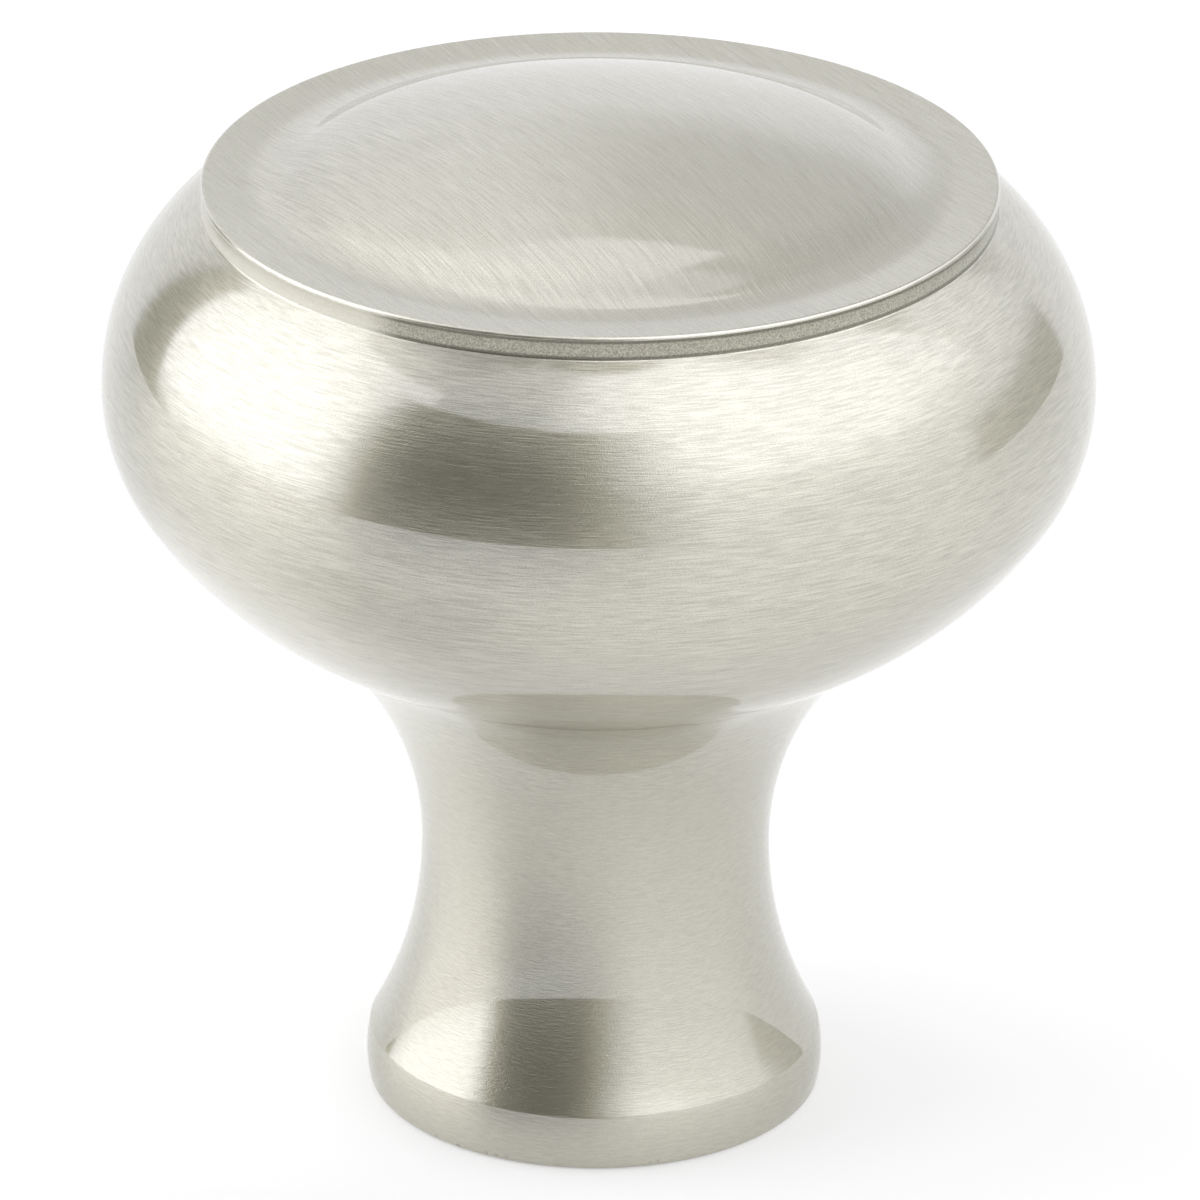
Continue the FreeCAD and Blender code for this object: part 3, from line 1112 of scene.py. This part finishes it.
@dataclass
class Studio:
    """The pale round table and the white light tent round it, with its softboxes and flags."""

    table_radius: float = 0.27
    table_segments: int = 192
    table_color: Color = (0.6, 0.6, 0.6)
    table_glow: float = 0.36
    painted_spots: tuple[FloorSpot, ...] = (
        # Painted light: a brighter pool on the table left of the knob.
        FloorSpot((-0.024, 0.006, 0.0), (0.008, 0.028), 0.22),
        # Painted shadow: a darker patch on the table in front and to the left, which only the metal's
        # reflections show.
        FloorSpot((-0.023, -0.023, 0.0), (0.006, 0.026), -0.24),
    )
    tent_radius: float = 1.2
    tent_centre: float = 0.02
    tent_columns: int = 240
    tent_rows: int = 180
    shade_tint: Color = (1.04, 1.0, 0.62)
    bright_tint: Color = (1.0, 1.0, 1.03)
    tint_range: Pair = (0.0, 0.7)
    bare_strength: float = 1.1
    panels: tuple[Panel, ...] = (
        Panel("left_back_flag", 221, 246, -20, 33, 0.25, 0.4, fade_left=6, fade_high=6),
        Panel("left_softbox", -121, -40, -1, 57, 2.3, 1.95, fade_low=16, lean=0.27),
        Panel("left_top", -125, -60, 57, 82, 1.1, 0.4),
        Panel("right_low", 8, 96, -20, 24, 0.8, 1.3, fade_left=24, fade_low=1, fade_high=8),
        Panel("right_softbox", -12, 114, 22, 84, 1.86, 2.15, fade_left=28, fade_right=6, fade_low=6),
        Panel("right_top", 84, 120, 60, 84, 1.1, 0.8, fade_left=20, fade_low=6),
        Panel("flag", -61, 10, -20, 50, 0.0, 0.08, fade_left=18, fade_right=42, fade_high=1),
        Panel("right_edge", 88, 114, 8, 26, 1.15, 1.45, fade_left=10, fade_low=6, fade_high=8),
        Panel("right_back_flag", 94, 136, -20, 9, 0.35, 0.45, fade_left=7, fade_high=9),
        Panel("back_shade", 114, 182, 20, 62, 0.76, 0.58, 6, fade_right=16, fade_low=12, fade_high=5),
        Panel("right_back_box", 112, 138, 14, 44, 1.3, 1.45, fade_right=8, fade_low=6, fade_high=6),
        Panel("back_top", 163, 213, 51.5, 82, 1.38, 1.36, fade_left=5, fade_right=4, fade_low=1),
        Panel("right_back_top", 116, 138, 64, 82, 1.3, 1.2, fade_left=8, fade_right=12, fade_low=4),
        Panel("left_back_box", 221, 239, 35, 64, 1.6, 1.4, fade_low=4),
        Panel("crown", -125, 115, 80, 91, 0.45, 0.4, fade_low=4),
    )

    def build(self) -> None:
        """Set the studio up."""
        self.build_table()
        self.build_tent()
        self.light_world()
        log.info("studio: a table and a tent with %d panels", len(self.panels))

    def build_table(self) -> None:
        """Make the pale round table that the knob stands on."""
        bm = bmesh.new()
        bmesh.ops.create_circle(
            bm, cap_ends=True, segments=self.table_segments, radius=self.table_radius
        )
        self.set_out("table", bm, self.table_material())

    def build_tent(self) -> None:
        """Make the tent, which only the knob and the table see, and paint its panels' strengths."""
        bm = bmesh.new()
        glow = bm.verts.layers.float.new(GLOW)
        bmesh.ops.create_uvsphere(
            bm, u_segments=self.tent_columns, v_segments=self.tent_rows, radius=self.tent_radius
        )
        for vert in bm.verts:
            turn = math.degrees(math.atan2(vert.co.x, -vert.co.y))
            height = math.degrees(math.atan2(vert.co.z, math.hypot(vert.co.x, vert.co.y)))
            vert[glow] = self.strength(turn, height)
        bmesh.ops.translate(bm, verts=bm.verts, vec=(0.0, 0.0, self.tent_centre))
        tent = self.set_out("tent", bm, self.tent_material())
        tent.visible_camera = False

    def strength(self, turn: float, height: float) -> float:
        """Return how bright the tent is in one direction.

        Args:
            turn: azimuth of the direction, in degrees.
            height: its height, in degrees.

        Returns:
            The strength, 1 for the bare tent.
        """
        level = self.bare_strength
        for panel in self.panels:
            share = panel.cover(turn, height)
            level += (panel.strength(height) - level) * share
        return level

    def set_out(self, name: str, bm: BMesh, material: bpy.types.Material) -> bpy.types.Object:
        """Put a piece of the studio in the scene.

        Args:
            name: its name.
            bm: its mesh, in metres.
            material: its one material.

        Returns:
            The object.
        """
        mesh = bpy.data.meshes.new(name)
        bm.to_mesh(mesh)
        bm.free()
        mesh.materials.append(material)
        prop = bpy.data.objects.new(name, mesh)
        bpy.context.scene.collection.objects.link(prop)
        return prop

    def table_material(self) -> bpy.types.Material:
        """Make matt grey that glows a little to the camera and in metal, so that it looks white.

        Returns:
            The material. The camera sees no spot that glows less than the rest.
        """
        material, bench = start_material("table_white")
        ray = bench.add("ShaderNodeLightPath", {}).outputs
        level = self.table_glow
        # The painted light and shadow of the spots are added to the table's glow here.
        for spot in self.painted_spots:
            away = bench.vector("LENGTH", bench.vector("SUBTRACT", bench.place(), spot.place))
            level = bench.maths("ADD", bench.ramp(away, spot.reach, (spot.glow, 0.0)), level)
        mirrored = bench.maths("MULTIPLY", ray["Is Glossy Ray"], level)
        plain = bench.maths("MAXIMUM", level, self.table_glow)
        glow = bench.maths("MULTIPLY_ADD", ray["Is Camera Ray"], plain, mirrored)
        matt = bench.add("ShaderNodeBsdfDiffuse", {"Color": (*self.table_color, 1.0)})
        lit = bench.add("ShaderNodeEmission", {"Color": (1.0, 1.0, 1.0, 1.0), "Strength": glow})
        both = bench.add("ShaderNodeAddShader", {0: matt.outputs[0], 1: lit.outputs[0]})
        bench.add("ShaderNodeOutputMaterial", {"Surface": both.outputs[0]})
        material.cycles.emission_sampling = "NONE"
        return material

    def tent_material(self) -> bpy.types.Material:
        """Make the tent's glow: each place's own strength, and a warmer white where it is weak.

        Returns:
            The material.
        """
        material, bench = start_material("tent_glow")
        strength = bench.attribute(GLOW)
        share = bench.ramp(strength, self.tint_range, (0.0, 1.0))
        color = bench.tint(share, self.shade_tint, self.bright_tint)
        lit = bench.add("ShaderNodeEmission", {"Color": color, "Strength": strength})
        bench.add("ShaderNodeOutputMaterial", {"Surface": lit.outputs[0]})
        material.cycles.emission_sampling = "NONE"
        return material

    def light_world(self) -> None:
        """Make the open studio beyond the tent white on every side."""
        world = bpy.data.worlds.new("studio")
        bpy.context.scene.world = world
        world.use_nodes = True
        bench = NodeBench(world.node_tree)
        inputs = {"Color": (1.0, 1.0, 1.0, 1.0), "Strength": 1.0}
        open_white = bench.add("ShaderNodeBackground", inputs)
        bench.add("ShaderNodeOutputWorld", {"Surface": open_white.outputs[0]})


def main() -> None:
    """Build the knob, its floor, the light and the camera."""
    logging.basicConfig(level=logging.INFO, format="%(message)s")
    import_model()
    knob = CabinetKnob(TurnedProfile(), TappedHole())
    piece = knob.build()
    low, high = knob.profile.collar_reach()
    finishes = {
        Skin.TURNED_SIDE: TurnedSide(rim_edge=high),
        Skin.BRUSHED_TOP: BrushedTop(),
        Skin.TAPPED_BORE: RawThread(),
        Skin.DULL_SHADED_COLLAR: DullShadedCollar(low=low, high=high),
    }
    for skin in Skin:
        piece.data.materials.append(finishes[skin].material(skin.name.lower()))
    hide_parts(NODE)
    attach(piece, BODY)
    log.info("knob: %d vertices, %d faces", len(piece.data.vertices), len(piece.data.polygons))
    PhotoCamera().build()
    Studio().build()
    bpy.context.scene.view_settings.view_transform = "Standard"


if __name__ == "__main__":
    main()
